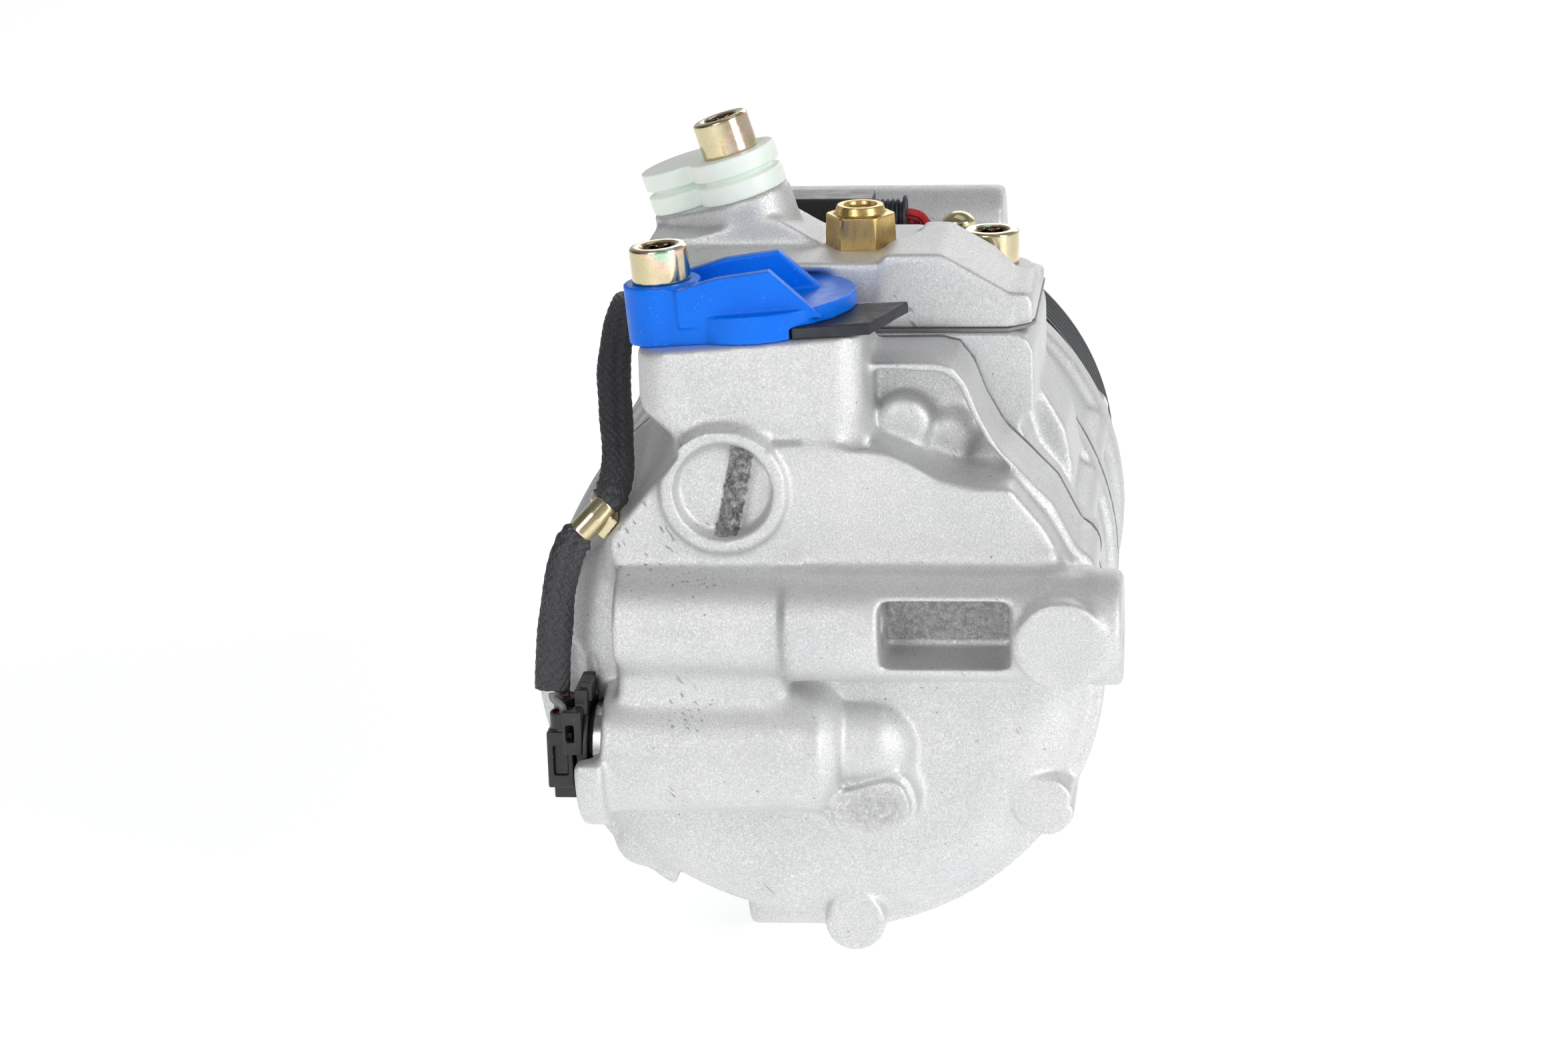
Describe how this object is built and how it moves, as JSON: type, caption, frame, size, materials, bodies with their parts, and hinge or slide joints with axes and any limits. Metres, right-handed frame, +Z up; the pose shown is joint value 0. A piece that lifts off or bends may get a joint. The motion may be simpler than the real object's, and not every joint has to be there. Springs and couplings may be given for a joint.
{
  "type": "automotive air-conditioning compressor",
  "caption": "Belt-driven swash-plate refrigerant compressor with cast housings, capped ports, a control valve with its lead, a relief valve and a damped pulley.",
  "frame": {"origin": "on the shaft axis in the middle plane of the belt", "axes": "+Y along the shaft towards the pulley nose, +Z up, +X to the right as seen from the rear housing"},
  "size_m": [0.1325, 0.2288, 0.1937],
  "materials": {
    "cast_aluminium": "fine-grained matte die casting with machined joint faces",
    "gasket_sheet": "rubber-coated steel sheet, dark edge",
    "yellow_zinc": "yellow-chromated zinc with a pink and green sheen",
    "brass": "turned brass with fine tool marks",
    "blue_plastic": "satin moulded polyethylene",
    "white_plastic": "waxy translucent white moulding with a green cast",
    "black_rubber": "smooth matte rubber",
    "bearing_steel": "ground steel",
    "black_plastic": "black glass-filled nylon",
    "red_silicone": "dark red silicone",
    "red_insulation": "red cable insulation",
    "grey_insulation": "grey cable insulation",
    "black_braid": "black braided sleeve",
    "pulley_coating": "dark grey satin coating",
    "piston_aluminium": "turned aluminium"
  },
  "bodies": {
    "housing": {"rear_housing": "cast_aluminium", "head_gasket": "gasket_sheet", "cylinder_block": "cast_aluminium", "front_housing": "cast_aluminium", "front_gasket": "gasket_sheet", "muffler_gasket": "gasket_sheet", "muffler_cover": "cast_aluminium", "muffler_bolts": "yellow_zinc", "relief_valve": "brass", "suction_cap": "blue_plastic", "suction_cap_gasket": "black_rubber", "suction_cap_bolt": "yellow_zinc", "discharge_cap": "white_plastic", "discharge_cap_bolt": "yellow_zinc", "control_valve": "bearing_steel", "control_valve_seals": "black_rubber", "valve_retaining_ring": "bearing_steel", "valve_connector": "black_plastic", "harness_plug": "black_plastic", "wire_seals": "red_silicone", "harness_wires": "grey_insulation", "braided_sleeve": "black_braid", "sleeve_clip": "yellow_zinc", "clip_screw": "yellow_zinc", "top_connector": "black_plastic", "connector_boot": "black_rubber", "top_leads": "red_insulation", "connector_screw": "yellow_zinc", "through_bolts": "yellow_zinc", "valve_plate": "bearing_steel", "suction_reeds": "bearing_steel", "discharge_reeds": "bearing_steel", "rear_needle_bearing": "bearing_steel", "front_needle_bearing": "bearing_steel", "thrust_bearing": "bearing_steel", "shaft_seal": "black_rubber", "bearing_inner_race": "bearing_steel", "bearing_balls": "bearing_steel"},
    "rotor": {"pulley": "pulley_coating", "bearing_outer_race": "bearing_steel", "damper_hub": "pulley_coating", "rubber_dampers": "black_rubber", "centre_nut": "yellow_zinc", "shaft": "bearing_steel", "lug_plate": "bearing_steel"},
    "swash": {"swash_plate": "bearing_steel"},
    "cylinder_1": {"piston_1": "piston_aluminium"},
    "shoe_pair_1": {"shoes_1": "bearing_steel"},
    "cylinder_2": {"piston_2": "piston_aluminium"},
    "shoe_pair_2": {"shoes_2": "bearing_steel"},
    "cylinder_3": {"piston_3": "piston_aluminium"},
    "shoe_pair_3": {"shoes_3": "bearing_steel"},
    "cylinder_4": {"piston_4": "piston_aluminium"},
    "shoe_pair_4": {"shoes_4": "bearing_steel"},
    "cylinder_5": {"piston_5": "piston_aluminium"},
    "shoe_pair_5": {"shoes_5": "bearing_steel"},
    "cylinder_6": {"piston_6": "piston_aluminium"},
    "shoe_pair_6": {"shoes_6": "bearing_steel"},
    "cylinder_7": {"piston_7": "piston_aluminium"},
    "shoe_pair_7": {"shoes_7": "bearing_steel"}
  },
  "joints": [
    {"name": "shaft_spin", "type": "hinge", "parent": "housing", "child": "rotor", "pos_m": [0, 0, 0], "axis": [0, 1, 0], "continuous": true},
    {"name": "swash_tilt", "type": "hinge", "parent": "housing", "child": "swash", "pos_m": [0, -0.085, 0.042], "axis": [1, 0, 0], "range_deg": [0, 15], "stiffness_Nm_per_rad": 1},
    {"name": "piston_slide_1", "type": "slide", "parent": "housing", "child": "cylinder_1", "axis": [0, 1, 0], "range_m": [0, 0.01989]},
    {"name": "shoe_rock_1", "type": "hinge", "parent": "cylinder_1", "child": "shoe_pair_1", "pos_m": [0.0207, -0.085, -0.03186], "axis": [1, 0, 0], "range_deg": [0, 15.01]},
    {"name": "piston_slide_2", "type": "slide", "parent": "housing", "child": "cylinder_2", "axis": [0, 1, 0], "range_m": [0, 0.01234]},
    {"name": "shoe_rock_2", "type": "hinge", "parent": "cylinder_2", "child": "shoe_pair_2", "pos_m": [0.03782, -0.085, -0.00368], "axis": [1, 0, 0], "range_deg": [0, 15.01]},
    {"name": "piston_slide_3", "type": "slide", "parent": "housing", "child": "cylinder_3", "axis": [0, 1, 0], "range_m": [0, 0.00404]},
    {"name": "shoe_rock_3", "type": "hinge", "parent": "cylinder_3", "child": "shoe_pair_3", "pos_m": [0.02646, -0.085, 0.02728], "axis": [1, 0, 0], "range_deg": [0, 15.01]},
    {"name": "piston_slide_4", "type": "slide", "parent": "housing", "child": "cylinder_4", "axis": [0, 1, 0], "range_m": [0, 0.00125]},
    {"name": "shoe_rock_4", "type": "hinge", "parent": "cylinder_4", "child": "shoe_pair_4", "pos_m": [-0.00483, -0.085, 0.03769], "axis": [1, 0, 0], "range_deg": [0, 15.01]},
    {"name": "piston_slide_5", "type": "slide", "parent": "housing", "child": "cylinder_5", "axis": [0, 1, 0], "range_m": [0, 0.00607]},
    {"name": "shoe_rock_5", "type": "hinge", "parent": "cylinder_5", "child": "shoe_pair_5", "pos_m": [-0.03248, -0.085, 0.01973], "axis": [1, 0, 0], "range_deg": [0, 15.01]},
    {"name": "piston_slide_6", "type": "slide", "parent": "housing", "child": "cylinder_6", "axis": [0, 1, 0], "range_m": [0, 0.01486]},
    {"name": "shoe_rock_6", "type": "hinge", "parent": "cylinder_6", "child": "shoe_pair_6", "pos_m": [-0.03567, -0.085, -0.0131], "axis": [1, 0, 0], "range_deg": [0, 15.01]},
    {"name": "piston_slide_7", "type": "slide", "parent": "housing", "child": "cylinder_7", "axis": [0, 1, 0], "range_m": [0, 0.02101]},
    {"name": "shoe_rock_7", "type": "hinge", "parent": "cylinder_7", "child": "shoe_pair_7", "pos_m": [-0.012, -0.085, -0.03605], "axis": [1, 0, 0], "range_deg": [0, 15.01]}
  ],
  "couplings": [
    {"joint": "piston_slide_1", "follows": "swash_tilt", "m_per_rad": 0.075599},
    {"joint": "shoe_rock_1", "follows": "swash_tilt", "ratio": 1},
    {"joint": "piston_slide_2", "follows": "swash_tilt", "m_per_rad": 0.046753},
    {"joint": "shoe_rock_2", "follows": "swash_tilt", "ratio": 1},
    {"joint": "piston_slide_3", "follows": "swash_tilt", "m_per_rad": 0.01507},
    {"joint": "shoe_rock_3", "follows": "swash_tilt", "ratio": 1},
    {"joint": "piston_slide_4", "follows": "swash_tilt", "m_per_rad": 0.004409},
    {"joint": "shoe_rock_4", "follows": "swash_tilt", "ratio": 1},
    {"joint": "piston_slide_5", "follows": "swash_tilt", "m_per_rad": 0.022798},
    {"joint": "shoe_rock_5", "follows": "swash_tilt", "ratio": 1},
    {"joint": "piston_slide_6", "follows": "swash_tilt", "m_per_rad": 0.056389},
    {"joint": "shoe_rock_6", "follows": "swash_tilt", "ratio": 1},
    {"joint": "piston_slide_7", "follows": "swash_tilt", "m_per_rad": 0.079888},
    {"joint": "shoe_rock_7", "follows": "swash_tilt", "ratio": 1}
  ]
}
